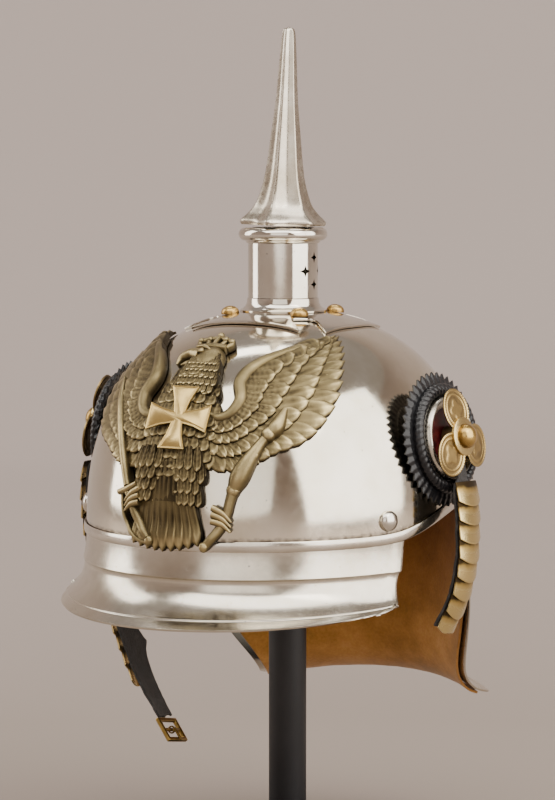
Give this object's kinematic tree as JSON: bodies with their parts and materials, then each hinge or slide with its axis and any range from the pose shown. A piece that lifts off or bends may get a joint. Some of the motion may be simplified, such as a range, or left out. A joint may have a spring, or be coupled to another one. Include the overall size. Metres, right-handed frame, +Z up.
{
  "type": "cavalry helmet on a display stand",
  "caption": "Polished steel cavalry helmet with a fluted spike, bronze eagle plate, side cockades, brass chin scales and a flared neck guard, on a plain black post.",
  "frame": {"origin": "middle of the stand's foot, on the floor", "axes": "+Z up, the helmet faces -Y, +X is the wearer's left"},
  "size_m": [0.2213, 0.2658, 0.4208],
  "materials": {
    "nickelled_steel": "polished nickel plate with fine pits",
    "silvered_metal": "silvered and rubbed",
    "brass": "worn, polished on the high parts",
    "patinated_bronze": "dark patina with bright raised edges",
    "gilt_brass": "worn gilding",
    "black_lacquer": "glossy black lacquer, chipped",
    "red_lacquer": "dark red lacquer",
    "suede_leather": "mottled tan suede",
    "strap_leather": "black leather, cracked",
    "black_paint": "matt black paint"
  },
  "bodies": {
    "helmet": {"base_stud_1": "brass", "base_stud_2": "brass", "base_stud_3": "brass", "base_stud_4": "brass", "boss_left": "brass", "boss_right": "brass", "buckle_frame": "brass", "cockade_black_left": "black_lacquer", "cockade_black_right": "black_lacquer", "cockade_red_left": "red_lacquer", "cockade_red_right": "red_lacquer", "cockade_silver_left": "silvered_metal", "cockade_silver_right": "silvered_metal", "eagle_cross": "gilt_brass", "eagle_plate": "patinated_bronze", "neck_guard": "nickelled_steel", "neck_lining": "suede_leather", "rim_band": "nickelled_steel", "scale_left_01": "brass", "scale_left_02": "brass", "scale_left_03": "brass", "scale_left_04": "brass", "scale_left_05": "brass", "scale_left_06": "brass", "scale_left_07": "brass", "scale_left_08": "brass", "scale_right_01": "brass", "scale_right_02": "brass", "scale_right_03": "brass", "scale_right_04": "brass", "scale_right_05": "brass", "scale_right_06": "brass", "scale_right_07": "brass", "scale_right_08": "brass", "scale_right_09": "brass", "scale_right_10": "brass", "scale_right_11": "brass", "scale_right_12": "brass", "scale_right_13": "brass", "side_rivet_left": "nickelled_steel", "side_rivet_right": "nickelled_steel", "skull": "nickelled_steel", "spike": "nickelled_steel", "spike_base": "nickelled_steel", "spike_collar": "nickelled_steel", "spike_neck": "nickelled_steel", "stand_base": "black_paint", "stand_head": "black_paint", "stand_post": "black_paint", "strap_left": "strap_leather", "strap_right": "strap_leather", "strap_stud": "brass", "trefoil_left": "brass", "trefoil_right": "brass", "visor": "nickelled_steel"},
    "tongue": {"buckle_tongue": "brass"}
  },
  "joints": [
    {"name": "tongue_hinge", "type": "hinge", "parent": "helmet", "child": "tongue", "pos_m": [-0.06454, -0.00599, 0.0618], "axis": [0, -0.9852, 0.1714], "range_deg": [0, 130]}
  ]
}
